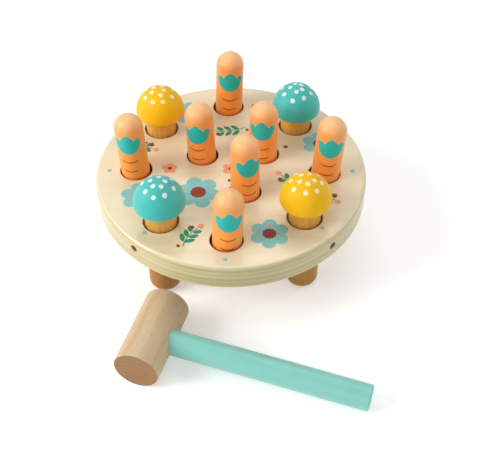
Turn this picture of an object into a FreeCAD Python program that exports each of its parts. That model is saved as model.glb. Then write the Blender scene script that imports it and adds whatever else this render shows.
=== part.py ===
import FreeCAD, Part
import math
import os
import re
import Sketcher

from FreeCAD import Placement, Rotation, Vector

# A round pounding bench on four posts. Each post is a leg below the board and the stem of a mushroom above
# it, and a screw in the rim locks it. Seven carrot pegs slide through the board, each held by a rubber ring,
# and a mallet lies in front. The origin is the centre of the board's top face, +Z is up and the mallet is on
# the -Y side.

# Driving dimensions in millimetres
sizes = {
    "boardRadius": 110,
    "boardThickness": 22,
    "boardTopRound": 3,
    "boardUnderRound": 1.5,
    "holeEdge": 0.5,
    "carrotRadius": 11.5,
    "carrotRaised": 56,
    "carrotFootEdge": 1,
    "carrotHolePlay": 1.5,
    "ringSection": 3,
    "ringGripGap": 0.08,
    "ringSeatPlay": 0.15,
    "postRadius": 12.5,
    "legRadius": 13,
    "legLength": 49.5,
    "footRound": 8,
    "recessPlay": 1.5,
    "recessDepth": 6,
    "glueGap": 0.05,
    "capRadius": 20.2,
    "capTuck": 3.2,
    "capShoulder": 20.8,
    "capCrown": 18.8,
    "capLift": 16.5,
    "spigotRadius": 7,
    "spigotLength": 15,
    "spigotEdge": 1,
    "socketRoom": 0.3,
    "screwDrop": 9,
    "rimHoleRadius": 3.2,
    "rimHoleDepth": 7,
    "screwHeadRadius": 3,
    "screwHeadHeight": 2.4,
    "screwHeadRound": 0.8,
    "screwShankRadius": 1.9,
    "screwLength": 22,
    "screwTip": 3,
    "screwPointRadius": 0.4,
    "screwSlotWidth": 0.9,
    "screwSlotDepth": 1.1,
    "screwTipRoom": 0.3,
    "headRadius": 17.8,
    "headLength": 68,
    "headEdge": 1.2,
    "headMiddleX": -62,
    "headMiddleY": -130,
    "handleRadius": 10.2,
    "handleReach": 153.5,
    "handleSeat": 26,
    "handleEdge": 1.5,
    "overrun": 5,
}

# Where the carrots stand: share of the board's radius, azimuth, lean towards +X, and the share of the raised
# height by which a carrot has been tapped down
carrot_names = ("back", "left", "right", "front", "inner_left", "inner_right", "inner_front")
carrot_radial_shares = (0.741, 0.702, 0.691, 0.731, 0.266, 0.297, 0.267)
carrot_azimuth_degrees = (91, 179.3, -5, -93, 142.8, 34.4, -68.2)
carrot_lean_degrees = (2, -3, 4, 2.5, -2, 0, 0)
carrot_sink_shares = (0, 0, 0, 0.12, 0.065, 0.075, 0)

# Where the mushroom posts stand
post_names = ("front_left", "front_right", "back_left", "back_right")
post_radial_shares = (0.73, 0.731, 0.721, 0.709)
post_azimuth_degrees = (-133.1, -45.2, 137.7, 44.7)

# How deep below the top face each post's screw sits, as a share of the screws' usual drop
screw_drop_shares = (0.95, 1.2, 1, 1)

# How far the straight part of a mushroom's side leans in
cap_slope_degrees = 38

# The way the mallet's head points, in degrees from +X
head_azimuth_degrees = 71.4

upward = Vector(0, 0, 1)

doc = FreeCAD.newDocument("peg_pounding_bench")
sheet = doc.addObject("Spreadsheet::Sheet", "Sizes")
for row, (alias, number) in enumerate(sizes.items(), start=1):
    sheet.set(f"A{row}", alias)
    sheet.set(f"B{row}", str(number))
    sheet.setAlias(f"B{row}", alias)
doc.recompute()


def linked(formula):
    """The formula with each size's name pointing at its cell of the sheet."""
    return re.sub(r"\b[a-z]+[A-Z]\w*|\boverrun\b", lambda found: "Sizes." + found.group(), formula)


def value(formula):
    """The number that a formula of size names gives now."""
    return float(sheet.evalExpression(linked(formula)))


def bind(thing, **formulas):
    """Tie properties of a document object to formulas of the sheet's sizes."""
    for name, formula in formulas.items():
        thing.setExpression(name, linked(formula))


def direction(azimuth):
    """The level direction at an azimuth in degrees."""
    return Vector(math.cos(math.radians(azimuth)), math.sin(math.radians(azimuth)), 0)


def polar_formulas(radial_share, azimuth):
    """The x and y of a place on the board."""
    return (f"boardRadius * {radial_share} * cos({azimuth} deg)",
            f"boardRadius * {radial_share} * sin({azimuth} deg)")


def plane_of(body, role):
    """One of the body's own origin planes."""
    return next(plane for plane in body.Origin.OriginFeatures if plane.Role == role)


def new_body(label):
    body = doc.addObject("PartDesign::Body", label)
    body.Label = label
    return body


def new_sketch(body, name, role):
    sketch = body.newObject("Sketcher::SketchObject", name)
    sketch.AttachmentSupport = [(plane_of(body, role), "")]
    sketch.MapMode = "FlatFace"
    return sketch


def fix_point(sketch, item, end, across, along):
    """Hold one point of a sketch at the formulas across and along, or on an axis where one is zero."""
    for kind, axis, formula in (("DistanceX", -2, across), ("DistanceY", -1, along)):
        if formula == "0":
            sketch.addConstraint(Sketcher.Constraint("PointOnObject", item, end, axis))
        else:
            index = sketch.addConstraint(Sketcher.Constraint(kind, item, end, value(formula)))
            sketch.setExpression(f"Constraints[{index}]", linked(formula))


def circles(body, name, places, radius, drop="0"):
    """A sketch of equal circles parallel to the board's face, drop below it."""
    sketch = new_sketch(body, name, "XY_Plane")
    if drop != "0":
        sketch.setExpression(".AttachmentOffset.Base.z", linked(f"-({drop})"))
    for across, along in places:
        middle = Vector(value(across), value(along), 0)
        item = sketch.addGeometry(Part.Circle(middle, upward, value(radius)), False)
        fix_point(sketch, item, 3, across, along)
        index = sketch.addConstraint(Sketcher.Constraint("Radius", item, value(radius)))
        sketch.setExpression(f"Constraints[{index}]", linked(radius))
    return sketch


def turned(body, corners):
    """Turn a closed half section about the body's own Z axis.

    A corner is (distance from the axis, height), and a corner that an arc leaves adds (arc radius, distance
    of the arc's centre from the axis, height of the centre). The corners run anticlockwise, and the last edge
    lies on the axis.
    """
    sketch = new_sketch(body, body.Name + "_section", "XZ_Plane")
    count = len(corners)
    for index, corner in enumerate(corners):
        following = corners[(index + 1) % count]
        start = Vector(value(corner[0]), value(corner[1]), 0)
        end = Vector(value(following[0]), value(following[1]), 0)
        if len(corner) == 2:
            sketch.addGeometry(Part.LineSegment(start, end), False)
        else:
            radius, across, along = corner[2]
            centre = Vector(value(across), value(along), 0)
            angles = [math.atan2(point.y - centre.y, point.x - centre.x) for point in (start, end)]
            circle = Part.Circle(centre, upward, value(radius))
            sketch.addGeometry(Part.ArcOfCircle(circle, *angles), False)
    for index, corner in enumerate(corners):
        before = index - 1 if index else count - 1
        sketch.addConstraint(Sketcher.Constraint("Coincident", before, 2, index, 1))
        fix_point(sketch, index, 1, corner[0], corner[1])
        if len(corner) == 3:
            arc = sketch.addConstraint(Sketcher.Constraint("Radius", index, value(corner[2][0])))
            sketch.setExpression(f"Constraints[{arc}]", linked(corner[2][0]))
    turn = body.newObject("PartDesign::Revolution", body.Name + "_turned")
    turn.Profile = sketch
    turn.ReferenceAxis = (sketch, ["V_Axis"])
    turn.Angle = 360
    doc.recompute()
    return turn


def padded(body, radius, length, midplane=False, downward=False):
    """A round bar about the body's Z axis."""
    pad = body.newObject("PartDesign::Pad", body.Name + "_bar")
    pad.Profile = circles(body, body.Name + "_round", [("0", "0")], radius)
    pad.Midplane = midplane
    pad.Reversed = downward
    bind(pad, Length=length)
    doc.recompute()
    return pad


def must_cut(feature):
    """Stop if a cut removed nothing."""
    doc.recompute()
    if feature.Shape.Volume >= feature.BaseFeature.Shape.Volume:
        raise RuntimeError(feature.Name + " cuts nothing")
    return feature


def pocketed(body, name, sketch, depth=None):
    """Cut a sketch into the body, away from the sketch's normal: to a depth, or right through."""
    pocket = body.newObject("PartDesign::Pocket", name)
    pocket.Profile = sketch
    if depth is None:
        pocket.Type = "ThroughAll"
    else:
        bind(pocket, Length=depth)
    return must_cut(pocket)


def drilled(body, name, radius, length, start, direction):
    """Drill a round hole that begins at start and runs along direction."""
    drill = body.newObject("PartDesign::SubtractiveCylinder", name)
    bind(drill, Radius=radius, Height=length)
    drill.Placement = Placement(start, Rotation(upward, direction))
    return must_cut(drill)


def dressed(body, kind, name, base, edges, **formulas):
    """Round or bevel edges of the feature base, which is the body's last."""
    dress = body.newObject("PartDesign::" + kind, name)
    dress.Base = (base, edges)
    bind(dress, **formulas)
    doc.recompute()
    return dress


def round_edges(feature, radius, height=None):
    """Names of a feature's circular edges of one radius, at one height where it is given."""
    names = []
    for index, edge in enumerate(feature.Shape.Edges, start=1):
        curve = edge.Curve
        if not isinstance(curve, Part.Circle) or not edge.isClosed():
            continue
        if not math.isclose(curve.Radius, value(radius), abs_tol=1e-6):
            continue
        if height is None or math.isclose(curve.Center.z, value(height), abs_tol=1e-6):
            names.append(f"Edge{index}")
    return names


carrot_places = dict(zip(carrot_names, map(polar_formulas, carrot_radial_shares, carrot_azimuth_degrees)))
carrot_leans = dict(zip(carrot_names, carrot_lean_degrees))
carrot_sinks = dict(zip(carrot_names, carrot_sink_shares))
post_places = dict(zip(post_names, map(polar_formulas, post_radial_shares, post_azimuth_degrees)))
post_outwards = dict(zip(post_names, map(direction, post_azimuth_degrees)))
screw_reaches = {name: f"boardRadius * (1 - {share}) - rimHoleDepth"
                 for name, share in zip(post_names, post_radial_shares)}
screw_drops = {name: f"screwDrop * {share}" for name, share in zip(post_names, screw_drop_shares)}
carrot_hole = "carrotRadius + carrotHolePlay"
groove_radius = "carrotRadius + ringGripGap + ringSection + ringSeatPlay"
groove_height = "ringSection + 2 * ringSeatPlay"
post_hole = "postRadius + glueGap"
recess = "postRadius + recessPlay"


def make_board():
    """The plywood disc with its peg holes, ring grooves, post holes and rim holes."""
    body = new_body("board")
    bar = padded(body, "boardRadius", "boardThickness", downward=True)
    rim = round_edges(bar, "boardRadius", "0")
    top = dressed(body, "Fillet", "board_top_edge", bar, rim, Radius="boardTopRound")
    under = round_edges(top, "boardRadius", "-boardThickness")
    dressed(body, "Fillet", "board_under_edge", top, under, Radius="boardUnderRound")
    pocketed(body, "carrot_holes", circles(body, "carrot_hole_plan", carrot_places.values(), carrot_hole))
    groove_drop = f"(boardThickness - ({groove_height})) / 2"
    grooves = circles(body, "ring_groove_plan", carrot_places.values(), groove_radius, groove_drop)
    pocketed(body, "ring_grooves", grooves, groove_height)
    pocketed(body, "post_holes", circles(body, "post_hole_plan", post_places.values(), post_hole))
    recesses = circles(body, "recess_plan", post_places.values(), recess)
    last = pocketed(body, "post_recesses", recesses, "recessDepth")
    edges = round_edges(last, carrot_hole, "0") + round_edges(last, carrot_hole, "-boardThickness")
    edges += round_edges(last, recess, "0")
    dressed(body, "Chamfer", "hole_edges", last, edges, Size="holeEdge")
    for name, outward in post_outwards.items():
        level = upward * -value(screw_drops[name])
        outside = outward * value("boardRadius + overrun") + level
        drilled(body, "rim_hole_" + name, "rimHoleRadius", "rimHoleDepth + overrun", outside, -outward)
        seat = outward * value("boardRadius - rimHoleDepth") + level
        drilled(body, "screw_way_" + name, "screwShankRadius + glueGap", screw_reaches[name], seat, -outward)
    return body


def make_carrot(name):
    """A domed peg, held on the axis of its hole and ring, leaning and sunk as it stands."""
    body = new_body("carrot_" + name)
    shoulder = "boardThickness + carrotRaised - carrotRadius"
    turned(body, [
        ("0", "0"),
        ("carrotRadius - carrotFootEdge", "0"),
        ("carrotRadius", "carrotFootEdge"),
        ("carrotRadius", shoulder, ("carrotRadius", "0", shoulder)),
        ("0", "boardThickness + carrotRaised"),
    ])
    lean = Rotation(Vector(0, 1, 0), carrot_leans[name])
    middle = Vector(*[value(formula) for formula in carrot_places[name]], value("-boardThickness / 2"))
    below = value(f"boardThickness / 2 + carrotRaised * {carrot_sinks[name]}")
    body.Placement = Placement(middle - lean.multVec(upward) * below, lean)
    return body


def make_ring(name):
    """The rubber ring that grips one carrot at the middle of the board's thickness."""
    ring = doc.addObject("Part::Torus", "grip_ring_" + name)
    ring.Label = ring.Name
    bind(ring, Radius1="carrotRadius + ringGripGap + ringSection / 2", Radius2="ringSection / 2")
    across, along = carrot_places[name]
    for axis, formula in (("x", across), ("y", along), ("z", "-boardThickness / 2")):
        ring.setExpression(".Placement.Base." + axis, linked(formula))
    return ring


def make_post(name):
    """A turned post: leg with a rounded foot and a shoulder under the board, stem and spigot."""
    body = new_body("post_" + name)
    stem_top = "legLength + boardThickness + capLift"
    spigot_top = stem_top + " + spigotLength"
    turned(body, [
        ("0", "0"),
        ("legRadius - footRound", "0", ("footRound", "legRadius - footRound", "footRound")),
        ("legRadius", "footRound"),
        ("legRadius", "legLength - glueGap"),
        ("postRadius", "legLength - glueGap"),
        ("postRadius", stem_top),
        ("spigotRadius", stem_top),
        ("spigotRadius", spigot_top + " - spigotEdge"),
        ("spigotRadius - spigotEdge", spigot_top),
        ("0", spigot_top),
    ])
    outward = post_outwards[name]
    level = value("legLength + boardThickness") - value(screw_drops[name])
    start = outward * value(screw_reaches[name]) + upward * level
    bite = "screwLength + screwTipRoom"
    drilled(body, "screw_bite_" + name, "screwShankRadius + glueGap", bite, start, -outward)
    foot = Vector(*[value(formula) for formula in post_places[name]], value("-boardThickness - legLength"))
    body.Placement = Placement(foot, Rotation())
    return body


def make_cap(name):
    """A mushroom cap: a tucked lower edge, a shoulder, a straight slope, a round crown and a blind socket."""
    body = new_body("cap_" + name)
    socket = "spigotRadius + glueGap"
    depth = "spigotLength + socketRoom"
    level, steep = f"cos({cap_slope_degrees} deg)", f"sin({cap_slope_degrees} deg)"
    inner = "(capRadius - capShoulder)"
    crown = f"({inner} * {level} + capTuck * {steep} + capShoulder - capCrown) / {steep}"
    turned(body, [
        ("0", depth),
        (socket, depth),
        (socket, "0"),
        ("capRadius - capTuck", "0", ("capTuck", "capRadius - capTuck", "capTuck")),
        ("capRadius", "capTuck", ("capShoulder", inner, "capTuck")),
        (f"{inner} + capShoulder * {level}", f"capTuck + capShoulder * {steep}"),
        (f"capCrown * {level}", f"{crown} + capCrown * {steep}", ("capCrown", "0", crown)),
        ("0", f"{crown} + capCrown"),
    ])
    seat = Vector(*[value(formula) for formula in post_places[name]], value("capLift"))
    body.Placement = Placement(seat, Rotation())
    return body


def make_screw(name):
    """A slotted pan head screw, standing on its head, then turned to point inwards in its rim hole."""
    body = new_body("screw_" + name)
    tip = "screwHeadHeight + screwLength"
    turned(body, [
        ("0", "0"),
        ("screwHeadRadius - screwHeadRound", "0",
         ("screwHeadRound", "screwHeadRadius - screwHeadRound", "screwHeadRound")),
        ("screwHeadRadius", "screwHeadRound"),
        ("screwHeadRadius", "screwHeadHeight"),
        ("screwShankRadius", "screwHeadHeight"),
        ("screwShankRadius", tip + " - screwTip"),
        ("screwPointRadius", tip),
        ("0", tip),
    ])
    slot = body.newObject("PartDesign::SubtractiveBox", "slot_" + name)
    bind(slot, Length="2 * screwHeadRadius", Width="screwSlotWidth", Height="screwSlotDepth")
    slot.Placement = Placement(Vector(value("-screwHeadRadius"), value("-screwSlotWidth / 2"), 0), Rotation())
    must_cut(slot)
    outward = post_outwards[name]
    head = outward * value("boardRadius - rimHoleDepth + screwHeadHeight") - upward * value(screw_drops[name])
    body.Placement = Placement(head, Rotation(upward, -outward))
    return body


def make_screw_set():
    """The four identical screws as one group of separate solids."""
    group = doc.addObject("Part::Compound", "leg_screws")
    group.Label = group.Name
    group.Links = [make_screw(name) for name in post_places]
    return group


def mallet_axes():
    """The directions of the mallet's handle and head: the head lies flat, the handle slopes to the floor."""
    along = direction(head_azimuth_degrees)
    slope = math.asin(value("headRadius - handleRadius") / value("headRadius + handleReach"))
    handle = along.cross(upward) * math.cos(slope) - upward * math.sin(slope)
    return handle, along


def head_middle():
    level = value("-boardThickness - legLength + headRadius")
    return Vector(value("headMiddleX"), value("headMiddleY"), level)


def make_mallet_head():
    """The mallet's head: a bar on its side with a blind bore for the handle."""
    body = new_body("mallet_head")
    bar = padded(body, "headRadius", "headLength", midplane=True)
    dressed(body, "Fillet", "head_edges", bar, round_edges(bar, "headRadius"), Radius="headEdge")
    depth = "handleSeat + socketRoom"
    start = Vector(value(f"headRadius - ({depth})"), 0, 0)
    drilled(body, "handle_bore", "handleRadius + glueGap", f"{depth} + overrun", start, Vector(1, 0, 0))
    handle, along = mallet_axes()
    body.Placement = Placement(head_middle(), Rotation(handle, along.cross(handle), along, "ZXY"))
    return body


def make_mallet_handle():
    """The mallet's handle: a round stick with softened ends."""
    body = new_body("mallet_handle")
    bar = padded(body, "handleRadius", "handleSeat + handleReach")
    dressed(body, "Fillet", "handle_ends", bar, round_edges(bar, "handleRadius"), Radius="handleEdge")
    handle, along = mallet_axes()
    start = head_middle() + handle * value("headRadius - handleSeat")
    body.Placement = Placement(start, Rotation(upward, handle))
    return body


pieces = [make_board()]
pieces += [make_carrot(name) for name in carrot_places]
pieces += [make_ring(name) for name in carrot_places]
pieces += [make_post(name) for name in post_places]
pieces += [make_cap(name) for name in post_places]
pieces += [make_screw_set(), make_mallet_head(), make_mallet_handle()]
doc.recompute()

for thing in doc.Objects:
    if "Invalid" in thing.State or "Error" in thing.State:
        raise RuntimeError(thing.Name + " failed")

os.makedirs("parts", exist_ok=True)
for piece in pieces:
    if piece.Shape.isNull() or not piece.Shape.isValid():
        raise RuntimeError(piece.Label + " has no valid shape")
    piece.Shape.exportStep(f"parts/{piece.Label}.step")
    print(f"{piece.Label}: {len(piece.Shape.Solids)} solid, {piece.Shape.Volume:.0f} cubic millimetres")
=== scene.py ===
import math
import bpy
import numpy as np
from mathutils import Matrix, Vector


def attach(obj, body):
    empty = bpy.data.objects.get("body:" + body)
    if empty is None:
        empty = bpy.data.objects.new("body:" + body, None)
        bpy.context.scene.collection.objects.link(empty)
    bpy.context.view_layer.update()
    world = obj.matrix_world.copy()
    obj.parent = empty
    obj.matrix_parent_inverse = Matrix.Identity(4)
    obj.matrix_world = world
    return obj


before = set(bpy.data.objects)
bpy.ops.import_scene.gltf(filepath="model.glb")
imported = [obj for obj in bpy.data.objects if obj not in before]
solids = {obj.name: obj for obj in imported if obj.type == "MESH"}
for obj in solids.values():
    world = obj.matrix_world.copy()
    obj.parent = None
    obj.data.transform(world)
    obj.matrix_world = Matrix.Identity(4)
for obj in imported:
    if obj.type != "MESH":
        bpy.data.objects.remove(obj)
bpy.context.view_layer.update()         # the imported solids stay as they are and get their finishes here
mm = 0.001
white = (1.0, 1.0, 1.0, 1.0)
print("solids loaded:", len(solids))


def screen(*channels):
    # a screen's colour, 0 to 255, as the linear colour that a shader wants, by the screen's own curve
    shares = [channel / 255 for channel in channels]
    return (*(s / 12.92 if s <= 0.04 else ((s + 0.055) / 1.055) ** 2.4 for s in shares), 1.0)


def addObject(name, data):
    thing = bpy.data.objects.new(name, data)
    bpy.context.scene.collection.objects.link(thing)
    return thing


# Camera and lamps

view = {
    "lens": 74.42, "sensor": 36.0,            # mm
    "place": (0.0, -0.60423, 0.54186), "aim": (0.00622, -0.06925, 0.0),
    "roll": -0.379,                           # degrees
    "near": 0.01, "far": 50.0,
}


def placeCamera():
    place, aim = Vector(view["place"]), Vector(view["aim"])
    ahead = (aim - place).normalized()
    right = ahead.cross(Vector((0, 0, 1))).normalized()
    up = right.cross(ahead)
    roll = math.radians(view["roll"])
    sideways = right * math.cos(roll) + up * math.sin(roll)
    upwards = up * math.cos(roll) - right * math.sin(roll)
    data = bpy.data.cameras.new("camera")
    data.lens, data.sensor_width, data.sensor_fit = view["lens"], view["sensor"], "HORIZONTAL"
    data.clip_start, data.clip_end = view["near"], view["far"]
    camera = addObject("camera", data)
    turned = Matrix((sideways, upwards, -ahead)).transposed().to_4x4()
    camera.matrix_world = Matrix.Translation(place) @ turned
    bpy.context.scene.camera = camera


softBoxes = {
    "left": {"place": (-1.5, -0.35, 0.88), "size": 1.0, "watts": 23.6},
    "above": {"place": (0.1, 0.75, 1.5), "size": 1.2, "watts": 7.2},
    "right": {"place": (1.5, 0.3, 0.6), "size": 0.9, "watts": 4.5},
    "front": {"place": (0.1, -1.5, 0.6), "size": 1.1, "watts": 4.6},
}


def placeSoftBox(name, box):
    # a square lamp that faces the middle of the board
    data = bpy.data.lights.new(name, "AREA")
    data.shape, data.size, data.energy = "SQUARE", box["size"], box["watts"]
    place = Vector(box["place"])
    turned = (-place).to_track_quat("-Z", "Y").to_matrix().to_4x4()
    addObject(name, data).matrix_world = Matrix.Translation(place) @ turned


# Node helpers: each adds one step to a tree and gives back its output

def addNode(tree, kind, inputs=None, **settings):
    node = tree.nodes.new("ShaderNode" + kind)
    for name, value in settings.items():
        setattr(node, name, value)
    for name, value in (inputs or {}).items():
        if isinstance(value, bpy.types.NodeSocket):
            tree.links.new(value, node.inputs[name])
        else:
            node.inputs[name].default_value = value
    return node


def maths(tree, operation, *values):
    return addNode(tree, "Math", dict(enumerate(values)), operation=operation).outputs[0]


def plus(tree, first, second):
    return maths(tree, "ADD", first, second)


def minus(tree, first, second):
    return maths(tree, "SUBTRACT", first, second)


def times(tree, first, second):
    return maths(tree, "MULTIPLY", first, second)


def absolute(tree, value):
    return maths(tree, "ABSOLUTE", value)


def fromAxis(tree, x, y):
    # the distance from the Z axis
    return maths(tree, "SQRT", plus(tree, times(tree, x, x), times(tree, y, y)))


def cloudy(tree, vector, spots, detail=2.0, roughness=0.5):
    # a noise whose spots are that long along X, Y and Z
    steps = tuple(1 / length for length in spots)
    stretched = addNode(tree, "VectorMath", {0: vector, 1: steps}, operation="MULTIPLY").outputs[0]
    inputs = {"Vector": stretched, "Scale": 1.0, "Detail": detail, "Roughness": roughness}
    return addNode(tree, "TexNoise", inputs).outputs[0]


def between(tree, value, low, high, first=0.0, last=1.0):
    # first up to low, last from high on, and a soft step from one to the other
    inputs = {"Value": value, "From Min": low, "From Max": high, "To Min": first, "To Max": last}
    return addNode(tree, "MapRange", inputs, interpolation_type="SMOOTHSTEP").outputs[0]


def ownNumber(tree, whole):
    # a number from 0 to 1 of its own for each whole number
    return addNode(tree, "TexWhiteNoise", {"W": whole}, noise_dimensions="1D").outputs[0]


def mixed(tree, share, first, second, how="MIX"):
    inputs = {0: share, 6: first, 7: second}
    return addNode(tree, "Mix", inputs, data_type="RGBA", blend_type=how).outputs[2]


def leaning(tree, share, first, second):
    # a number from first to second by the share
    return addNode(tree, "Mix", {0: share, 2: first, 3: second}, data_type="FLOAT").outputs[0]


def shaded(tree, colour, value):
    # the colour times a number
    return mixed(tree, 1.0, colour, value, "MULTIPLY")


def apart(tree, vector):
    return addNode(tree, "SeparateXYZ", {0: vector}).outputs


def newGroup(name, vectors, colours, values):
    # a shared effect's tree, what comes into it and where its results go
    tree = bpy.data.node_groups.new(name, "ShaderNodeTree")
    for label in vectors:
        tree.interface.new_socket(label, in_out="INPUT", socket_type="NodeSocketVector")
    for label in colours:
        tree.interface.new_socket(label, in_out="INPUT", socket_type="NodeSocketColor")
    for label, value in values.items():
        socket = tree.interface.new_socket(label, in_out="INPUT", socket_type="NodeSocketFloat")
        socket.default_value = value
    for label, kind in (("Color", "Color"), ("Height", "Float"), ("Roughness", "Float")):
        tree.interface.new_socket(label, in_out="OUTPUT", socket_type="NodeSocket" + kind)
    start, end = tree.nodes.new("NodeGroupInput"), tree.nodes.new("NodeGroupOutput")
    return tree, start.outputs, end.inputs


def fill(tree, results, colour, height, roughness):
    for name, value in (("Color", colour), ("Height", height), ("Roughness", roughness)):
        tree.links.new(value, results[name])


# Effects that several finishes share

# In their dictionaries spots are the lengths of a noise's spots, other pairs are where a mask starts and ends,
# and shades are what a colour is multiplied by at those ends.
midRange = (0.3, 0.7)    # where most of a noise lies

turnedWood = {
    "warpSpots": (18 * mm, 18 * mm, 110 * mm), "warp": 9 * mm,
    "darkens": (0.25, 0.9), "ends": (0.93, 1.0),          # shares of a year ring
    "fibreSpots": (0.35 * mm, 0.35 * mm, 9 * mm), "fibreShades": (0.93, 1.04),
    "raySpots": (0.75 * mm, 0.75 * mm, 2.8 * mm), "rays": (0.63, 0.72), "rayDepth": 0.5,
    "toneSpots": (20 * mm, 20 * mm, 130 * mm), "tones": (0.35, 0.7), "toneShare": 0.4,
    "square": (0.75, 0.97),                               # how squarely an end faces the grain
    # heights over which the wood below the board turns to a painted shade of the board above it
    "shadeBelowBoard": (-23.5 * mm, -21.5 * mm),                    # heights
    "roughness": (0.58, 0.46), "endRoughness": 0.15,
}


def makeTurnedGrain():
    # Wood with its grain along Z. Year rings are the distance from a heart line, warped a little, in ring
    # widths: each darkens slowly and ends sharply. Fibres are fine long streaks, and flecks are short dark
    # rays. Faces square to the grain show its open ends, in End times their own colour; on the mallet head
    # this End is darker than end grain alone, a painted shade on its ends. Below the board the wood takes a
    # painted shade of the board above it: its colour times the shade given for below.
    look = turnedWood
    tree, given, results = newGroup(
        "turnedGrain", ("Vector", "Normal", "Along"), ("Pale", "Dark", "Fleck", "End", "ShadeBelow"),
        {"Ring": 2.6 * mm, "Rings": 0.5, "Flecks": 0.6})
    vector = given["Vector"]
    x, y, z = apart(tree, vector)
    warp = minus(tree, cloudy(tree, vector, look["warpSpots"]), 0.5)
    warped = plus(tree, fromAxis(tree, x, y), times(tree, warp, look["warp"]))
    year = maths(tree, "FRACT", maths(tree, "DIVIDE", warped, given["Ring"]))
    late = times(tree, between(tree, year, *look["darkens"]), between(tree, year, *look["ends"], 1.0, 0.0))
    fibres = cloudy(tree, vector, look["fibreSpots"], detail=3.0)
    flecks = between(tree, cloudy(tree, vector, look["raySpots"], detail=1.0), *look["rays"])
    tone = between(tree, cloudy(tree, vector, look["toneSpots"]), *look["tones"], 0.0, look["toneShare"])
    wood = mixed(tree, plus(tree, times(tree, late, given["Rings"]), tone), given["Pale"], given["Dark"])
    wood = shaded(tree, wood, between(tree, fibres, *midRange, *look["fibreShades"]))
    wood = mixed(tree, times(tree, flecks, given["Flecks"]), wood, given["Fleck"])
    facing = addNode(tree, "VectorMath", {0: given["Normal"], 1: given["Along"]}, operation="DOT_PRODUCT")
    ends = between(tree, absolute(tree, facing.outputs["Value"]), *look["square"])
    wood = mixed(tree, ends, wood, given["End"], "MULTIPLY")
    # painted shade of the board on the legs below it
    wood = mixed(tree, between(tree, z, *look["shadeBelowBoard"], 1.0, 0.0), wood, given["ShadeBelow"], "MULTIPLY")
    height = minus(tree, fibres, times(tree, flecks, look["rayDepth"]))
    rough = between(tree, fibres, *midRange, *look["roughness"])
    fill(tree, results, wood, height, plus(tree, rough, times(tree, ends, look["endRoughness"])))
    return tree


layeredWood = {
    "waverSpots": (30 * mm, 30 * mm, 4 * mm), "waver": 0.5 * mm, "topPly": 0.02,
    "flat": (0.55, 0.9), "endTurn": (0.25, 0.95),         # how far a face is turned
    "fibresX": (11 * mm, 0.5 * mm, 0.5 * mm), "fibresY": (0.5 * mm, 11 * mm, 0.5 * mm),
    "edgeFibre": 0.95, "faceFibre": 0.982, "paleFibre": 1.01,
    "speckleSpots": (0.4 * mm, 0.4 * mm, 0.35 * mm), "speckles": (0.5, 0.7), "speckleShare": 0.14,
    "figureSpots": (110 * mm, 14 * mm, 30 * mm), "figureRoughness": 0.55,
    "figure": (0.42, 0.72), "figureShare": 0.32,
    "toneSpots": (50 * mm, 50 * mm, 2.2 * mm), "toneShades": (0.93, 1.03), "plyShades": (0.93, 1.04),
    "plyStart": 7.5,                                      # keeps a ply's own number off its glue line's
    "glueAbove": (0.0, 0.07), "glueBelow": (0.93, 1.0),   # shares of a ply
    "glueShare": 0.2, "strongShare": 0.32, "glueDepth": 0.5,
    "boredIn": (-1 * mm, 1 * mm), "boredDown": (0.4 * mm, 1.1 * mm),
    "rimIn": (-4.5 * mm, -3.5 * mm), "rimDown": (3.5 * mm, 4.5 * mm),
    "recessIn": (2 * mm, 4 * mm), "rimPale": 0.3, "boreShades": (0.8, 1.15),
    "roughness": (0.5, 0.42), "endRoughness": 0.68,
}


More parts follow.
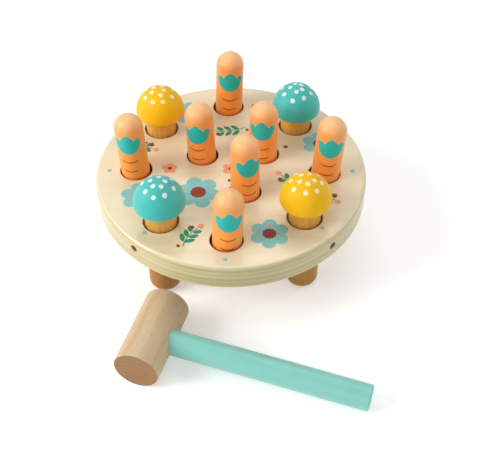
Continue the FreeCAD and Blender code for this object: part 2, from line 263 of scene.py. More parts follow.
def makePlyStack():
    # Birch plywood lying flat: ply number = depth / ply thickness. Even plies run along X and odd ones
    # along Y. A ply shows its ends where the edge faces the way it runs, and those plies are darker and
    # speckled. Each glue line has its own strength, and one of them is strong. Bored walls are darker, their
    # cut end grain with a painted shade of the hole and a painted orange reflection of the carrots: inside
    # Inner metres from the middle anywhere between the faces, and in the rim's own holes away from both edges.
    # The posts' shallow recesses, which lie more than Milled metres from both middle lines, are paler, and the
    # rim's holes a little.
    look = layeredWood
    tree, given, results = newGroup(
        "plyStack", ("Vector", "Normal"), ("Face", "Side", "End", "Glue", "HoleGrainAndShade", "Recess"),
        {"Ply": 2.5 * mm, "Strong": 2.0, "Inner": 105 * mm, "Deep": 22 * mm, "Milled": 36 * mm})
    vector = given["Vector"]
    x, y, z = apart(tree, vector)
    waver = times(tree, minus(tree, cloudy(tree, vector, look["waverSpots"]), 0.5), look["waver"])
    depth = maths(tree, "DIVIDE", times(tree, plus(tree, z, waver), -1.0), given["Ply"])
    depth = maths(tree, "MAXIMUM", depth, look["topPly"])     # the top face is all one ply
    inPly = maths(tree, "FRACT", depth)
    odd = maths(tree, "GREATER_THAN", maths(tree, "FRACT", times(tree, depth, 0.5)), 0.5)
    facesX, facesY, facesZ = [absolute(tree, share) for share in apart(tree, given["Normal"])]
    flat = between(tree, facesZ, *look["flat"])
    onEdge = minus(tree, 1.0, flat)
    ends = times(tree, between(tree, leaning(tree, odd, facesX, facesY), *look["endTurn"]), onEdge)

    alongX = cloudy(tree, vector, look["fibresX"], detail=3.0)
    alongY = cloudy(tree, vector, look["fibresY"], detail=3.0)
    fibres = leaning(tree, odd, alongX, alongY)
    figure = cloudy(tree, vector, look["figureSpots"], roughness=look["figureRoughness"])
    figure = between(tree, figure, *look["figure"], 0.0, look["figureShare"])
    face = mixed(tree, figure, given["Face"], given["Side"])
    edge = mixed(tree, ends, given["Side"], given["End"])
    tone = cloudy(tree, vector, look["toneSpots"], detail=1.0)
    edge = shaded(tree, edge, between(tree, tone, *midRange, *look["toneShades"]))
    plyNumber = plus(tree, maths(tree, "FLOOR", depth), look["plyStart"])
    edge = shaded(tree, edge, between(tree, ownNumber(tree, plyNumber), 0.0, 1.0, *look["plyShades"]))
    wood = mixed(tree, flat, edge, face)
    darkFibre = leaning(tree, flat, look["edgeFibre"], look["faceFibre"])
    wood = shaded(tree, wood, between(tree, fibres, *midRange, darkFibre, look["paleFibre"]))
    speckle = cloudy(tree, vector, look["speckleSpots"])
    spots = between(tree, speckle, *look["speckles"], 0.0, look["speckleShare"])
    wood = shaded(tree, wood, minus(tree, 1.0, times(tree, ends, spots)))

    line = between(tree, inPly, *look["glueAbove"], 1.0, 0.0)
    line = times(tree, plus(tree, line, between(tree, inPly, *look["glueBelow"])), onEdge)
    lineNumber = maths(tree, "FLOOR", plus(tree, depth, 0.5))
    strong = times(tree, maths(tree, "COMPARE", lineNumber, given["Strong"], 0.5), look["strongShare"])
    own = between(tree, ownNumber(tree, lineNumber), 0.0, 1.0, 0.0, look["glueShare"])
    wood = mixed(tree, times(tree, line, plus(tree, own, strong)), wood, given["Glue"])

    # how far below one face or above the other, whichever is nearer, and how far in from Inner
    nearest = maths(tree, "MINIMUM", times(tree, z, -1.0), plus(tree, z, given["Deep"]))
    inside = minus(tree, given["Inner"], fromAxis(tree, x, y))
    bored = times(tree, between(tree, inside, *look["boredIn"]), between(tree, nearest, *look["boredDown"]))
    rimBored = times(tree, between(tree, inside, *look["rimIn"]), between(tree, nearest, *look["rimDown"]))
    diagonal = maths(tree, "MINIMUM", absolute(tree, x), absolute(tree, y))
    milled = between(tree, minus(tree, diagonal, given["Milled"]), *look["boredIn"])
    milled = times(tree, milled, between(tree, inside, *look["recessIn"], look["rimPale"], 1.0))
    # bored walls: end grain with painted shade and a painted orange reflection, paler in the recesses
    bore = mixed(tree, milled, given["HoleGrainAndShade"], given["Recess"])
    bore = shaded(tree, bore, between(tree, fibres, *midRange, *look["boreShades"]))
    wood = mixed(tree, maths(tree, "MAXIMUM", bored, rimBored), wood, bore)
    hollows = plus(tree, times(tree, line, look["glueDepth"]), times(tree, ends, speckle))
    rough = between(tree, fibres, *midRange, *look["roughness"])
    rough = leaning(tree, ends, rough, look["endRoughness"])
    fill(tree, results, wood, minus(tree, fibres, hollows), rough)
    return tree


sprayedPaint = {
    "peelSpots": (1.1 * mm, 1.1 * mm, 1.1 * mm), "peelShades": (0.985, 1.015), "peelHeight": 0.5,
    "thickSpots": (12 * mm, 12 * mm, 20 * mm), "thick": (0.4, 0.75), "thinShare": 0.35, "dulling": 0.16,
    "grainSpots": (0.6 * mm, 0.6 * mm, 12 * mm), "grain": (0.45, 0.75), "grainShare": 0.5,
    "dustSpots": (0.9 * mm, 0.9 * mm, 0.9 * mm), "dust": (0.76, 0.8), "dustHeight": 0.35,
}


def makePaintCoat():
    # Sprayed paint over wood with its grain along Z: a fine orange peel, a slow change of thickness and a
    # trace of the grain under it.
    look = sprayedPaint
    values = {"Grain": 0.3, "Gloss": 0.4}
    tree, given, results = newGroup("paintCoat", ("Vector",), ("Paint", "Thin"), values)
    vector = given["Vector"]
    peel = cloudy(tree, vector, look["peelSpots"], detail=1.0)
    thick = cloudy(tree, vector, look["thickSpots"], detail=3.0)
    grain = cloudy(tree, vector, look["grainSpots"])
    dust = between(tree, cloudy(tree, vector, look["dustSpots"], detail=0.0), *look["dust"])
    most = times(tree, given["Grain"], look["grainShare"])
    trace = times(tree, between(tree, grain, *look["grain"]), most)
    thin = plus(tree, between(tree, thick, *look["thick"], 0.0, look["thinShare"]), trace)
    paint = mixed(tree, thin, given["Paint"], given["Thin"])
    paint = shaded(tree, paint, between(tree, peel, *midRange, *look["peelShades"]))
    height = plus(tree, times(tree, peel, look["peelHeight"]), times(tree, grain, given["Grain"]))
    height = plus(tree, height, times(tree, dust, look["dustHeight"]))
    gloss = plus(tree, given["Gloss"], times(tree, minus(tree, thick, 0.5), look["dulling"]))
    fill(tree, results, paint, height, gloss)
    return tree


printedInk = {
    "streakSpots": (8 * mm, 0.5 * mm, 0.5 * mm), "streaks": (0.45, 0.8), "streakShare": 0.5,
    "pinSpots": (0.7 * mm, 0.7 * mm, 0.7 * mm), "pins": (0.66, 0.74), "pinHeight": 0.4,
    "cloudSpots": (10 * mm, 10 * mm, 10 * mm), "clouds": (0.4, 0.8), "cloudShare": 0.4,
    "roughness": (0.52, 0.44),
}


def makeInkCoat():
    # A printed ink: even colour with faint streaks of the wood below and tiny pinholes that let its colour
    # through.
    look = printedInk
    tree, given, results = newGroup("inkCoat", ("Vector",), ("Ink", "Under"), {"Show": 0.2})
    vector = given["Vector"]
    streaks = cloudy(tree, vector, look["streakSpots"], detail=3.0)
    pins = cloudy(tree, vector, look["pinSpots"], detail=1.0)
    clouds = cloudy(tree, vector, look["cloudSpots"])
    show = between(tree, streaks, *look["streaks"], 0.0, look["streakShare"])
    show = plus(tree, show, between(tree, pins, *look["pins"]))
    show = plus(tree, show, between(tree, clouds, *look["clouds"], 0.0, look["cloudShare"]))
    ink = mixed(tree, times(tree, show, given["Show"]), given["Ink"], given["Under"])
    height = plus(tree, streaks, times(tree, pins, look["pinHeight"]))
    fill(tree, results, ink, height, between(tree, streaks, *midRange, *look["roughness"]))
    return tree


effects = {    # each group, and the depth of its bump
    "grain": (makeTurnedGrain(), 0.05 * mm), "plies": (makePlyStack(), 0.03 * mm),
    "paint": (makePaintCoat(), 0.03 * mm), "ink": (makeInkCoat(), 0.015 * mm),
}
print("shared effects made:", len(effects))


# Finishes

# Names in their dictionaries that start with a capital are inputs of a shader or of an effect.

def newFinish(name, fixed):
    # an empty material whose plain numbers are set straight on the shader
    material = bpy.data.materials.new(name)
    material.use_nodes = True
    tree = material.node_tree
    tree.nodes.clear()
    surface = addNode(tree, "BsdfPrincipled", fixed)
    addNode(tree, "OutputMaterial", {0: surface.outputs[0]})
    return material, tree, surface, addNode(tree, "TexCoord").outputs


def finishWith(tree, surface, outputs, bump):
    # colour, roughness and a bump of that depth in metres
    tree.links.new(outputs["Color"], surface.inputs["Base Color"])
    tree.links.new(outputs["Roughness"], surface.inputs["Roughness"])
    raised = addNode(tree, "Bump", {"Strength": 1.0, "Distance": bump, "Height": outputs["Height"]})
    tree.links.new(raised.outputs[0], surface.inputs["Normal"])


def coverWith(tree, surface, effect, inputs):
    # the finish that a shared effect gives with those inputs
    group, bump = effects[effect]
    finishWith(tree, surface, addNode(tree, "Group", inputs, node_tree=group).outputs, bump)


def alongAxis(tree, vector, axis, centre):
    # turns the axis onto Z and brings the centre to zero
    turn = Vector(axis).to_track_quat("Z", "Y").to_matrix().transposed()
    shift = -(turn @ Vector(centre))
    inputs = {"Vector": vector, "Location": shift, "Rotation": turn.to_euler("XYZ")}
    return addNode(tree, "Mapping", inputs).outputs[0]


satinLacquer = {"Specular IOR Level": 0.4, "Coat Weight": 0.15, "Coat Roughness": 0.35}
glossLacquer = {"Specular IOR Level": 0.3, "Coat Weight": 0.7, "Coat Roughness": 0.13}
beech = {
    "post": {"Pale": screen(225, 170, 80), "Dark": screen(202, 138, 54), "Fleck": screen(166, 108, 44),
             "Ring": 3.4 * mm, "Rings": 0.3, "Flecks": 0.25,
             # the colour for below the board is the legs' painted shade under it
             "End": (0.75, 0.7, 0.64, 1.0), "ShadeBelow": (0.63, 0.56, 0.34, 1.0)},
    "head": {"Pale": screen(211, 187, 151), "Dark": screen(192, 158, 114), "Fleck": screen(162, 118, 76),
             "Ring": 4.2 * mm, "Rings": 0.3, "Flecks": 0.28,
             # End: the head's end grain, darkened further as a painted shade on its end faces
             "End": (0.55, 0.39, 0.25, 1.0), "ShadeBelow": white},
}
plywood = {
    "Face": screen(236, 222, 188), "Side": screen(214, 200, 153), "End": screen(208, 193, 144),
    # the bored walls' colour: cut end grain with painted shade and a painted orange reflection of the carrots
    "Glue": screen(130, 100, 58), "HoleGrainAndShade": screen(152, 68, 30), "Recess": screen(206, 164, 108),
    "Ply": 22 * mm / 9,     # nine plies
    "Strong": 2,            # the number of the glue line that shows most, from the top
}


def makeBeech(name, look, axis, heart):
    material, tree, surface, place = newFinish(name, satinLacquer)
    vector = alongAxis(tree, place["Object"], axis, heart)
    inputs = {**look, "Vector": vector, "Normal": place["Normal"], "Along": axis}
    coverWith(tree, surface, "grain", inputs)
    return material


def makePlywood():
    material, tree, surface, place = newFinish("birchPlywood", glossLacquer)
    inputs = {**plywood, "Vector": place["Object"], "Normal": place["Normal"]}
    coverWith(tree, surface, "plies", inputs)
    return material


def satin(shine, sheen, coat=0.0):
    # a sprayed paint's shader: how much it shines, the soft light along its edges, and a clear coat over it
    return {"Specular IOR Level": shine, "Sheen Weight": sheen, "Sheen Roughness": 0.5,
            "Coat Weight": coat, "Coat Roughness": 0.35}


paints = {
    "teal": {"Paint": screen(61, 185, 176), "Thin": screen(49, 173, 164), "Grain": 0.15, "Gloss": 0.5},
    "yellow": {"Paint": screen(247, 190, 2), "Thin": screen(240, 178, 0), "Grain": 0.15, "Gloss": 0.5},
    "mint": {"Paint": screen(128, 200, 188), "Thin": screen(116, 191, 179), "Grain": 0.25, "Gloss": 0.48},
}
shaders = {"teal": satin(0.35, 0.3), "yellow": satin(0.22, 0.06), "mint": satin(0.35, 0.25, 0.6)}


def makePaint(name, paint, axis, centre):
    material, tree, surface, place = newFinish(name, shaders[paint])
    vector = alongAxis(tree, place["Object"], axis, centre)
    coverWith(tree, surface, "paint", {**paints[paint], "Vector": vector})
    return material


carrotLook = {
    # dome: paler paint with some painted highlight from above; tip: a painted highlight of the light from
    # above
    "low": screen(255, 154, 44), "dome": screen(246, 162, 84), "tip": screen(251, 192, 130),
    "fade": (46 * mm, 74 * mm), "tipHighlightFade": (68 * mm, 79 * mm),    # heights above the foot
    "driftSpots": (12 * mm, 12 * mm, 12 * mm), "drift": 6 * mm, "thinShade": (0.94, 0.94, 0.94, 1.0),
    "coat": {"Grain": 0.3, "Gloss": 0.5}, "shader": satin(0.65, 0.22),
}


def makeCarrotPaint(name, axis, foot):
    # orange at the foot and paler towards the dome, partly paler paint and partly a painted highlight from
    # above, and paler again at the tip, a painted highlight, with uneven edges
    look = carrotLook
    material, tree, surface, place = newFinish(name, look["shader"])
    vector = alongAxis(tree, place["Object"], axis, foot)
    drift = times(tree, minus(tree, cloudy(tree, vector, look["driftSpots"]), 0.5), look["drift"])
    height = plus(tree, apart(tree, vector)[2], drift)
    paint = mixed(tree, between(tree, height, *look["fade"]), look["low"], look["dome"])
    # the painted highlight at the tip
    paint = mixed(tree, between(tree, height, *look["tipHighlightFade"]), paint, look["tip"])
    thin = shaded(tree, paint, look["thinShade"])
    coverWith(tree, surface, "paint", {**look["coat"], "Vector": vector, "Paint": paint, "Thin": thin})
    return material


def makeInk(name, look):
    # the look has the ink's colour, the colour under it and how much of that shows
    material, tree, surface, place = newFinish(name, {"Specular IOR Level": 0.25})
    inputs = {"Ink": look["colour"], "Under": look["under"], "Show": look["show"]}
    coverWith(tree, surface, "ink", {**inputs, "Vector": place["Object"]})
    return material


rubber = {
    "black": screen(26, 26, 27), "pale": screen(44, 43, 42), "spots": (0.3 * mm, 0.3 * mm, 0.3 * mm),
    "roughness": (0.75, 0.6), "bump": 0.02 * mm, "shader": {"Specular IOR Level": 0.35},
}


def makeRubber():
    # matt black with a fine moulded skin
    material, tree, surface, place = newFinish("ringRubber", rubber["shader"])
    skin = cloudy(tree, place["Object"], rubber["spots"])
    colour = mixed(tree, between(tree, skin, *midRange), rubber["black"], rubber["pale"])
    rough = between(tree, skin, *midRange, *rubber["roughness"])
    finishWith(tree, surface, {"Color": colour, "Roughness": rough, "Height": skin}, rubber["bump"])
    return material


brass = {
    "bright": screen(226, 186, 104), "dull": screen(170, 128, 62),
    "dullSpots": (1.2 * mm, 1.2 * mm, 1.2 * mm), "dulls": (0.35, 0.7), "roughness": (0.42, 0.6),
    "brushSpots": (0.2 * mm, 0.2 * mm, 1 * mm), "bump": 0.01 * mm, "shader": {"Metallic": 1.0},
}


def makeBrass():
    # plated steel with a brushed sparkle and duller spots
    material, tree, surface, place = newFinish("screwBrass", brass["shader"])
    brushed = cloudy(tree, place["Object"], brass["brushSpots"])
    dull = cloudy(tree, place["Object"], brass["dullSpots"])
    colour = mixed(tree, between(tree, dull, *brass["dulls"]), brass["bright"], brass["dull"])
    rough = between(tree, dull, *brass["dulls"], *brass["roughness"])
    finishWith(tree, surface, {"Color": colour, "Roughness": rough, "Height": brushed}, brass["bump"])
    return material


def dress(node, material):
    for slot in solids[node].material_slots:
        slot.material = material


# Surfaces

def closedShell(rows):
    # rows x columns x 3 places: the first and last row are poles, and the columns go once round. The pole
    # rows become one point each, and quads join the rest.
    count, columns = rows.shape[:2]
    points = np.vstack([rows[0, :1], rows[1:-1].reshape(-1, 3), rows[-1, :1]])
    here = 1 + np.arange((count - 2) * columns).reshape(count - 2, columns)
    beside = np.roll(here, -1, axis=1)
    quads = np.stack([here[:-1], here[1:], beside[1:], beside[:-1]], axis=-1).reshape(-1, 4)
    first = np.stack([np.zeros(columns, int), here[0], beside[0]], axis=-1)
    last = np.stack([here[-1], np.full(columns, len(points) - 1), beside[-1]], axis=-1)
    return points, quads, np.vstack([first, last])


def newPiece(name, shells, material, body):
    # joins closed shells into one mesh that rides on the body
    points, faces, start = [], [], 0
    for rows in shells:
        places, quads, triangles = closedShell(rows)
        points.append(places)
        faces += (quads + start).tolist() + (triangles + start).tolist()
        start += len(places)
    mesh = bpy.data.meshes.new(name)
    mesh.from_pydata(np.vstack(points).tolist(), [], faces)
    mesh.polygons.foreach_set("use_smooth", np.ones(len(faces), bool))
    mesh.materials.append(material)
    mesh.update()
    piece = addObject(name, mesh)
    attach(piece, body)
    return piece


# Sections of the ink films: their heights are in film thicknesses, and they close below the surface they
# lie on.
discSection = {
    "flat": 0.93,                                         # the share of the outline that is level
    "shares": (0.965, 0.985, 1.0, 0.99, 0.6, 0.0),
    "heights": (0.9, 0.6, 0.0, -1.0, -1.2, -1.2),
}
bandSection = {
    "across": (-1.0, -0.94, -0.75, 0.0, 0.75, 0.94, 1.0, 0.6, -0.6),
    "heights": (-0.4, 0.75, 1.0, 1.0, 1.0, 0.75, -0.4, -1.2, -1.2),
}


def circle(points):
    # angles once round
    return np.linspace(0, 2 * math.pi, points, endpoint=False)


def inkDisc(outline, film, steps=7):
    # Pattern places (s, t, height) of a printed shape. The outline, a closed curve round zero, is scaled by
    # rho, from 0 over the film's top to 1 at its edge, where the height falls to nothing, and back to 0
    # under the surface.
    rho = np.concatenate([np.linspace(0, discSection["flat"], steps), discSection["shares"]])
    height = np.concatenate([np.ones(steps), discSection["heights"]]) * film
    s, t = rho[:, None] * outline[None, :, 0], rho[:, None] * outline[None, :, 1]
    return np.stack([s, t, np.broadcast_to(height[:, None], s.shape)], axis=-1)


def inkBand(path, halfWidths, film):
    # Pattern places of a printed stroke: at each path point the section goes across from one edge to the
    # other over the film's top, and back under the surface. Place = path + side * halfWidth * across, where
    # side is square to the path, to its left. The half widths are 0 at both ends.
    along = np.gradient(path, axis=0)
    along /= np.linalg.norm(along, axis=1, keepdims=True)
    side = np.stack([-along[:, 1], along[:, 0]], axis=-1)
    across, height = np.array(bandSection["across"]), np.array(bandSection["heights"]) * film
    s = path[:, None, 0] + side[:, None, 0] * halfWidths[:, None] * across[None]
    t = path[:, None, 1] + side[:, None, 1] * halfWidths[:, None] * across[None]
    return np.stack([s, t, np.broadcast_to(height[None], s.shape)], axis=-1)[:, ::-1]


# Carrots: where each stands in the solids, and how its print is turned

boardRadius = 110 * mm
carrotSize = {"radius": 11.5 * mm, "raised": 56 * mm, "board": 22 * mm}
carrots = {
    # spot: share of the board's radius and azimuth; lean and turn in degrees; sink: share of raised; up:
    # how much higher its crown and its lines sit than on a mean carrot, mm
    "back": {"spot": (0.741, 91), "lean": 2, "sink": 0, "turn": 0, "up": (-0.7, -1.0)},
    "left": {"spot": (0.702, 179.3), "lean": -3, "sink": 0, "turn": -8, "up": (0.3, 1.0)},
    "right": {"spot": (0.691, -5), "lean": 4, "sink": 0, "turn": -5, "up": (0.0, 1.0)},
    "front": {"spot": (0.731, -93), "lean": 2.5, "sink": 0.12, "turn": 2, "up": (0.2, 0.6)},
    "inner_left": {"spot": (0.266, 142.8), "lean": -2, "sink": 0.065, "turn": -14, "up": (-0.8, 1.8)},
    "inner_right": {"spot": (0.297, 34.4), "lean": 0, "sink": 0.075, "turn": -11, "up": (1.8, 1.8)},
    "inner_front": {"spot": (0.267, -68.2), "lean": 0, "sink": 0, "turn": 20, "up": (-0.6, -0.1)},
}
crownPrint = {
    # mm, with heights above the board's top on a carrot that isn't sunk
    "halfWidth": 11.7, "foot": 25.6, "valley": 38.2, "tip": 38.5, "peak": 44.2,
    "square": 2.2, "pointed": 0.9, "points": 81,
    # shares of the way up, with heights in films at the two edges: up over the low one, down over the high
    # one and back under the surface
    "lowEdge": ((0.0, -0.3), (0.012, 0.7), (0.04, 1.0)), "top": (0.1, 0.9, 6),
    "highEdge": ((0.96, 1.0), (0.988, 0.7), (1.0, -0.3), (0.8, -1.5), (0.2, -1.5)),
    "film": 0.045 * mm,                                   # thinner than the room in the rubber rings
    "colour": screen(40, 183, 175), "under": screen(80, 204, 192), "show": 0.4,
}
linePrint = {
    "lines": ((16.0, 7.0, 1.7), (6.4, 5.9, 1.1)), "thick": 1.25,    # lines: height, half width and rise, mm
    "blunt": 5, "points": 41, "film": 0.04 * mm,
    "colour": screen(202, 60, 6), "under": screen(222, 84, 20), "show": 0.3,
}


def onBoard(spot):
    # the place on the board's top of a share of its radius and an azimuth
    share, azimuth = spot[0], math.radians(spot[1])
    return boardRadius * share * math.cos(azimuth), boardRadius * share * math.sin(azimuth)


def carrotFrame(carrot):
    # the foot's centre, the axis up the peg, the way its print faces and the way to its right
    lean, turn = math.radians(carrot["lean"]), math.radians(carrot["turn"])
    axis = Vector((math.sin(lean), 0, math.cos(lean)))
    pivot = Vector((*onBoard(carrot["spot"]), -carrotSize["board"] / 2))
    foot = pivot - axis * (carrotSize["board"] / 2 + carrotSize["raised"] * carrot["sink"])
    front, side = Vector((0, -1, 0)), Vector((math.cos(lean), 0, -math.sin(lean)))
    ahead = front * math.cos(turn) + side * math.sin(turn)
    return foot, axis, ahead, side * math.cos(turn) - front * math.sin(turn)


def ontoCarrot(carrot, rows, higher):
    # s round the peg from the way it faces, t up from the board's top on an unsunk peg, height out from the
    # surface: place = foot + axis * (board + t) + out * (radius + height), where
    # out = ahead * cos(s / radius) + right * sin(s / radius)
    foot, axis, ahead, right = (np.array(v) for v in carrotFrame(carrot))
    angle = rows[..., 0] / carrotSize["radius"]
    out = ahead * np.cos(angle)[..., None] + right * np.sin(angle)[..., None]
    up = rows[..., 1] + carrotSize["board"] + higher * mm
    return foot + axis * up[..., None] + out * (carrotSize["radius"] + rows[..., 2])[..., None]


def crownRows():
    # Between the zigzag above and the bowl below. With u from -1 to 1 across:
    # above = valley + |cos(pi u)| ^ pointed * rise, which goes from the peak's in the middle to the tips',
    # below = tip + (foot - tip) * bowl, where bowl = (1 - |u| ^ square) ^ (1 / square).
    # Each row is a closed strip: up over the film, and back under it.
    p = crownPrint
    u = np.sin(np.linspace(-0.5, 0.5, p["points"]) * math.pi)
    rise = (p["peak"] - p["valley"]) + (p["tip"] - p["peak"]) * u ** 2
    above = p["valley"] + np.abs(np.cos(math.pi * u)) ** p["pointed"] * rise
    bowl = (1 - np.abs(u) ** p["square"]) ** (1 / p["square"])
    below = p["tip"] + (p["foot"] - p["tip"]) * bowl
    low, top, high = np.array(p["lowEdge"]), np.linspace(*p["top"]), np.array(p["highEdge"])
    share = np.concatenate([low[:, 0], top, high[:, 0]])
    film = np.concatenate([low[:, 1], np.ones(len(top)), high[:, 1]]) * p["film"]
    film = np.repeat(film[None], len(u), axis=0)
    film[[0, -1]] = high[-1, 1] * p["film"]     # both ends stay under the surface
    t = (below[:, None] + (above - below)[:, None] * share[None]) * mm
    s = np.repeat((u * p["halfWidth"] * mm)[:, None], len(share), axis=1)
    return np.stack([s, t, film], axis=-1)[:, ::-1]


def lineRows(low, halfWidth, rise):
    # a smile: s = u * halfWidth, t = low + rise * u ^ 2, thinning to nothing at both ends
    p = linePrint
    u = np.linspace(-1, 1, p["points"])
    path = np.stack([u * halfWidth, low + rise * u ** 2], axis=-1) * mm
    halves = p["thick"] / 2 * mm * np.sqrt(np.clip(1 - np.abs(u) ** p["blunt"], 0, 1))
    return inkBand(path, halves, p["film"])


def printCarrots():
    crownInk, lineInk = makeInk("crownInk", crownPrint), makeInk("lineInk", linePrint)
    for name, carrot in carrots.items():
        foot, axis = carrotFrame(carrot)[:2]
        crownUp, linesUp = carrot["up"]
        dress("carrot_" + name, makeCarrotPaint("carrotPaint_" + name, axis, foot))
        leaves = [ontoCarrot(carrot, crownRows(), crownUp)]
        crown = newPiece("crown_print_" + name, leaves, crownInk, "peg_" + name)
        smiles = [ontoCarrot(carrot, lineRows(*line), linesUp) for line in linePrint["lines"]]
        newPiece("line_print_" + name, smiles, lineInk, "peg_" + name)


# Mushroom caps and their dots

capSize = {"crown": 18.8 * mm, "centre": 22.181 * mm}    # the crown's radius and its centre above the board
caps = {
    # starts: the azimuth of the first dot on each of the two rings of dots
    "front_left": {"spot": (0.73, -133.1), "paint": "teal", "starts": (13, 35)},
    "front_right": {"spot": (0.731, -45.2), "paint": "yellow", "starts": (-86, 38)},
    "back_left": {"spot": (0.721, 137.7), "paint": "yellow", "starts": (-77, 17)},
    "back_right": {"spot": (0.709, 44.7), "paint": "teal", "starts": (-107, 26)},
}
dotPrint = {
    # rings: the number of dots and degrees from the top; strays: degrees down and round; wobbles: waves
    # round a dot and their share of its radius; phase: the most, in radians, that a wave starts at
    "rings": ((5, 17.5), (8, 40.0)), "radius": 1.92 * mm, "film": 0.09 * mm, "points": 30,
    "strays": (1.5, 4), "sizes": (0.92, 1.06), "wobbles": ((2, 0.06), (3, 0.04)), "phase": 6,
    "firstSeed": 11,
    "teal": {"colour": screen(230, 240, 236), "under": screen(196, 222, 214), "show": 0.6},
    "yellow": {"colour": screen(250, 238, 206), "under": screen(246, 222, 160), "show": 0.6},
}


def dotRows(cap, seed):
    # Dots on two loose rings round the top. Each is an ink disc laid on the round crown: a place d from the
    # dot's middle is d / crown round the sphere from it.
    p, draws = dotPrint, np.random.default_rng(seed)
    down, turned = [], []
    for (count, degrees), start in zip(p["rings"], cap["starts"]):
        down += [degrees] * count
        turned += [start + k * 360 / count for k in range(count)]
    down = np.radians(down + draws.normal(0, p["strays"][0], len(down)))
    turned = np.radians(turned + draws.normal(0, p["strays"][1], len(turned)))
    middle = np.stack([np.sin(down) * np.cos(turned), np.sin(down) * np.sin(turned), np.cos(down)], axis=-1)
    south = np.stack([np.cos(down) * np.cos(turned), np.cos(down) * np.sin(turned), -np.sin(down)], axis=-1)
    east = np.cross(middle, south)
    centre = np.array([*onBoard(cap["spot"]), capSize["centre"]])
    angle = circle(p["points"])
    shapes = []
    for k in range(len(down)):
        wobble = np.ones(len(angle))
        for waves, share in p["wobbles"]:
            wobble += share * np.cos(waves * angle + draws.uniform(0, p["phase"]))
        size = p["radius"] * draws.uniform(*p["sizes"]) * wobble
        rows = inkDisc(np.stack([np.cos(angle) * size, np.sin(angle) * size], axis=-1), p["film"])
        far = np.hypot(rows[..., 0], rows[..., 1]) / capSize["crown"]
        way = south[k] * np.cos(angle)[None, :, None] + east[k] * np.sin(angle)[None, :, None]
        out = middle[k] * np.cos(far)[..., None] + way * np.sin(far)[..., None]
        shapes.append(centre + out * (capSize["crown"] + rows[..., 2])[..., None])
    return shapes


def dressCaps():
    dotInks = {paint: makeInk(paint + "DotInk", dotPrint[paint]) for paint in ("teal", "yellow")}
    for seed, (name, cap) in enumerate(caps.items(), dotPrint["firstSeed"]):
        centre, paint = (*onBoard(cap["spot"]), 0.0), cap["paint"]
        dress("cap_" + name, makePaint(paint + "Cap_" + name, paint, (0, 0, 1), centre))
        newPiece("cap_dots_" + name, dotRows(cap, seed), dotInks[paint], "bench")


# Board print: a garland of flowers, sprigs and berries of this bench's own, in mm and degrees

boardFilm = 0.05 * mm
boardInks = {
    "sky": {"colour": screen(124, 202, 204), "under": screen(190, 212, 190), "show": 0.55},
    "soil": {"colour": screen(138, 52, 36), "under": screen(170, 96, 62), "show": 0.5},
    "leaf": {"colour": screen(42, 140, 104), "under": screen(96, 176, 140), "show": 0.6},
    "peach": {"colour": screen(243, 160, 106), "under": screen(240, 190, 146), "show": 0.5},
}
garland = {
    # each: azimuth, distance and size, and how far it is turned from the way outwards where it isn't round
    "flowers": [(22, 80, 14.5, 10), (114.5, 80, 15.5, 50), (203, 79, 15.5, 20), (291, 80, 15.5, 35),
                (226, 38, 18.0, 0)],
    "sprigs": [(68, 80, 25.0, 78), (158.5, 80, 26.0, 190), (247, 82, 26.0, 170), (335, 81, 25.0, 360),
               (92, 49, 30.0, 95), (-18, 51, 28.0, 160)],
    "blossoms": [(0, 0, 7.5, 0), (178, 50, 6.5, -158), (270, 53, 6.5, -270)],
    "berries": [(45, 98, 1.9), (137, 98, 1.9), (227, 98, 1.9), (315, 98, 1.9), (-3, 99, 1.9),
                (91, 102, 1.7), (180, 99, 1.9), (267, 101, 1.7), (73, 30, 1.9), (-95, 14, 1.7),
                (30, 53, 1.9), (122, 46, 1.9)],
    "paleBeyond": 60,                                     # the distance beyond which a berry is pale
}
flower = {
    # eye and beadsOut: shares of the flower's size
    "petals": 6, "depth": 0.3, "eye": 0.36, "eyePetals": 12, "eyeDepth": 0.1,
    "beads": 6, "bead": 1.15, "beadsOut": 0.64, "lift": 0.05 * mm,
}
sprig = {
    # leaves, and x of the stem and the berries: shares of half the sprig's length
    "stem": ((-1.0, -2.0), (0.0, 3.0), (0.8, -1.0)), "stemWidth": 0.9,
    "leaves": (-0.62, -0.2, 0.22), "leaf": (9.0, 4.0), "ahead": 3.4, "aside": 3.4, "up": 0.6, "spread": 42,
    # x, y, radius, the depth of its petals and its ink
    "berries": ((0.98, -1.6, 2.6, 0.18, "peach"), (0.62, 3.6, 1.9, 0.0, "soil"),
                (-1.05, 1.6, 1.5, 0.0, "soil")),
    "berryPetals": 5, "lift": 0.03 * mm,
}
blossom = {"petals": 5, "depth": 0.35, "eye": 0.28, "lift": 0.05 * mm}


def around(degrees, distance):
    angle = math.radians(degrees)
    return np.array([math.cos(angle), math.sin(angle)]) * distance * mm


def ontoBoard(rows, centre, turn=0.0, lift=0.0):
    # the pattern turned and moved on the board's top
    c, s = math.cos(math.radians(turn)), math.sin(math.radians(turn))
    x = rows[..., 0] * c - rows[..., 1] * s + centre[0]
    y = rows[..., 0] * s + rows[..., 1] * c + centre[1]
    return np.stack([x, y, rows[..., 2] + np.where(rows[..., 2] > 0, lift, 0.0)], axis=-1)


def discOnBoard(outline, centre, turn=0.0, lift=0.0, steps=7):
    return ontoBoard(inkDisc(outline, boardFilm, steps), centre, turn, lift)


def petals(size, count=1, depth=0.0, points=96):
    # radius = size * (1 - depth + depth * |cos(count * angle / 2)| ^ 0.7), a circle where the depth is 0
    angle = circle(points)
    radius = size * mm * (1 - depth + depth * np.abs(np.cos(count * angle / 2)) ** 0.7)
    return np.stack([np.cos(angle) * radius, np.sin(angle) * radius], axis=-1)


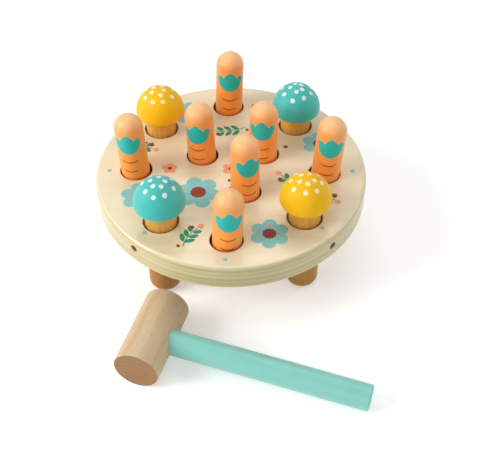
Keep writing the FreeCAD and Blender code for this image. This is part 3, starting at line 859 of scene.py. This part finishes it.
def leafShape(length, width, points=40):
    # a pointed oval from end to end: x = cos(angle), y = sin(angle) * |sin(angle)| ^ 0.5
    angle = circle(points)
    y = np.sin(angle) * np.abs(np.sin(angle)) ** 0.5
    return np.stack([np.cos(angle) * length / 2, y * width / 2], axis=-1) * mm


def stroke(points, width, steps=30, blunt=14):
    # a printed line through three points, P = (1-u)^2 a + 2u(1-u) b + u^2 c, with rounded ends
    u = np.linspace(0, 1, steps)[:, None]
    a, b, c = (np.array(p, float) * mm for p in points)
    path = (1 - u) ** 2 * a + 2 * u * (1 - u) * b + u ** 2 * c
    halves = width / 2 * mm * np.sqrt(np.clip(1 - np.abs(2 * u[:, 0] - 1) ** blunt, 0, 1))
    return inkBand(path, halves, boardFilm)


def flowerShells(spot, size, turn):
    # petals, an eye on them and a ring of beads, each with its ink
    p = flower
    yield "sky", discOnBoard(petals(size, p["petals"], p["depth"]), spot, turn)
    eye = petals(size * p["eye"], p["eyePetals"], p["eyeDepth"])
    yield "soil", discOnBoard(eye, spot, turn, p["lift"])
    bead = petals(p["bead"], points=20)
    for k in range(p["beads"]):
        place = spot + around(turn + 360 / p["beads"] * k, size * p["beadsOut"])
        yield "peach", discOnBoard(bead, place, lift=p["lift"], steps=3)


def sprigShells(spot, size, turn):
    # a bowed stem, pairs of leaves that get shorter along it, and berries
    p, half = sprig, size / 2
    stem = stroke([(x * half, y) for x, y in p["stem"]], p["stemWidth"])
    yield "leaf", ontoBoard(stem, spot, turn)
    for k, share in enumerate(p["leaves"]):
        leaf = leafShape(p["leaf"][0] - k, p["leaf"][1])
        for side in (-1, 1):
            place = np.array([half * share + p["ahead"], p["up"] + side * p["aside"]]) * mm
            yield "leaf", ontoBoard(discOnBoard(leaf, place, side * p["spread"]), spot, turn)
    for x, y, radius, depth, ink in p["berries"]:
        berry = petals(radius, p["berryPetals"], depth, points=50)
        berry = discOnBoard(berry, np.array([half * x, y]) * mm, lift=p["lift"])
        yield ink, ontoBoard(berry, spot, turn)


def blossomShells(spot, size, turn):
    # petals and an eye on them
    p = blossom
    yield "peach", discOnBoard(petals(size, p["petals"], p["depth"]), spot, turn)
    yield "soil", discOnBoard(petals(size * p["eye"], points=30), spot, turn, p["lift"])


def printBoard():
    kinds = {"flowers": flowerShells, "sprigs": sprigShells, "blossoms": blossomShells}
    prints = {name: [] for name in boardInks}
    for kind, shellsOf in kinds.items():
        for angle, distance, size, turn in garland[kind]:
            for ink, rows in shellsOf(around(angle, distance), size, angle + turn):
                prints[ink].append(rows)
    for angle, distance, radius in garland["berries"]:
        ink = "sky" if distance > garland["paleBeyond"] else "soil"
        prints[ink].append(discOnBoard(petals(radius, points=30), around(angle, distance), steps=4))
    for name, shells in prints.items():
        newPiece("board_print_" + name, shells, makeInk(name + "Ink", boardInks[name]), "bench")


# The floor and the room

stage = {
    "floor": -71.5 * mm, "radius": 1.15, "points": 96,
    "shader": {"Base Color": (0.92, 0.92, 0.92, 1.0), "Roughness": 1.0, "Specular IOR Level": 0.0,
               "Emission Color": white},
    "glow": 0.34, "sky": 0.35,
}


def seenDirectly(tree):
    # 1 for what the camera, a mirror or glass sees, and 0 for the light that reaches the object
    path = addNode(tree, "LightPath").outputs
    seen = plus(tree, path["Is Camera Ray"], path["Is Glossy Ray"])
    return maths(tree, "MINIMUM", plus(tree, seen, path["Is Transmission Ray"]), 1.0)


def layFloor():
    # a disc that ends where the lamps still light it to white, so its edge doesn't show
    angle = circle(stage["points"])
    edge = np.stack([np.cos(angle), np.sin(angle)], axis=-1) * stage["radius"]
    mesh = bpy.data.meshes.new("floor")
    mesh.from_pydata([(x, y, stage["floor"]) for x, y in edge.tolist()], [], [list(range(len(edge)))])
    material, tree, surface = newFinish("paleFloor", stage["shader"])[:3]
    tree.links.new(times(tree, seenDirectly(tree), stage["glow"]), surface.inputs["Emission Strength"])
    mesh.materials.append(material)
    floor = addObject("floor", mesh)


def lightTheRoom():
    world = bpy.data.worlds.new("room")
    world.use_nodes = True
    tree = world.node_tree
    tree.nodes.clear()
    level = between(tree, seenDirectly(tree), 0.0, 1.0, stage["sky"], 1.0)
    back = addNode(tree, "Background", {"Color": white, "Strength": level})
    addNode(tree, "OutputWorld", {0: back.outputs[0]})
    bpy.context.scene.world = world
    for name, box in softBoxes.items():
        placeSoftBox(name, box)


# Putting it together

bpy.context.scene.view_settings.view_transform = "Standard"
placeCamera()
layFloor()
lightTheRoom()
print("camera, floor and lamps placed")

postHeart = (6 * mm, 4 * mm, 0)
malletHead = {"azimuth": math.radians(71.4), "heart": (-62 * mm, -130 * mm, -95 * mm)}
malletHandle = {"axis": (0.947, -0.319, -0.044), "middle": (-62 * mm, -130 * mm, -53.7 * mm)}

dress("board", makePlywood())
postBeech = makeBeech("postBeech", beech["post"], (0, 0, 1), postHeart)
for corner in caps:
    dress("post_" + corner, postBeech)
headAxis = (math.cos(malletHead["azimuth"]), math.sin(malletHead["azimuth"]), 0)
dress("mallet_head", makeBeech("headBeech", beech["head"], headAxis, malletHead["heart"]))
dress("mallet_handle", makePaint("mintHandle", "mint", malletHandle["axis"], malletHandle["middle"]))
ringRubber = makeRubber()
for name in carrots:
    dress("grip_ring_" + name, ringRubber)
dress("leg_screws", makeBrass())
print("wood, paint, rubber and brass dressed")

printCarrots()
print("carrots printed")
dressCaps()
print("caps dotted")
printBoard()
print("board printed")
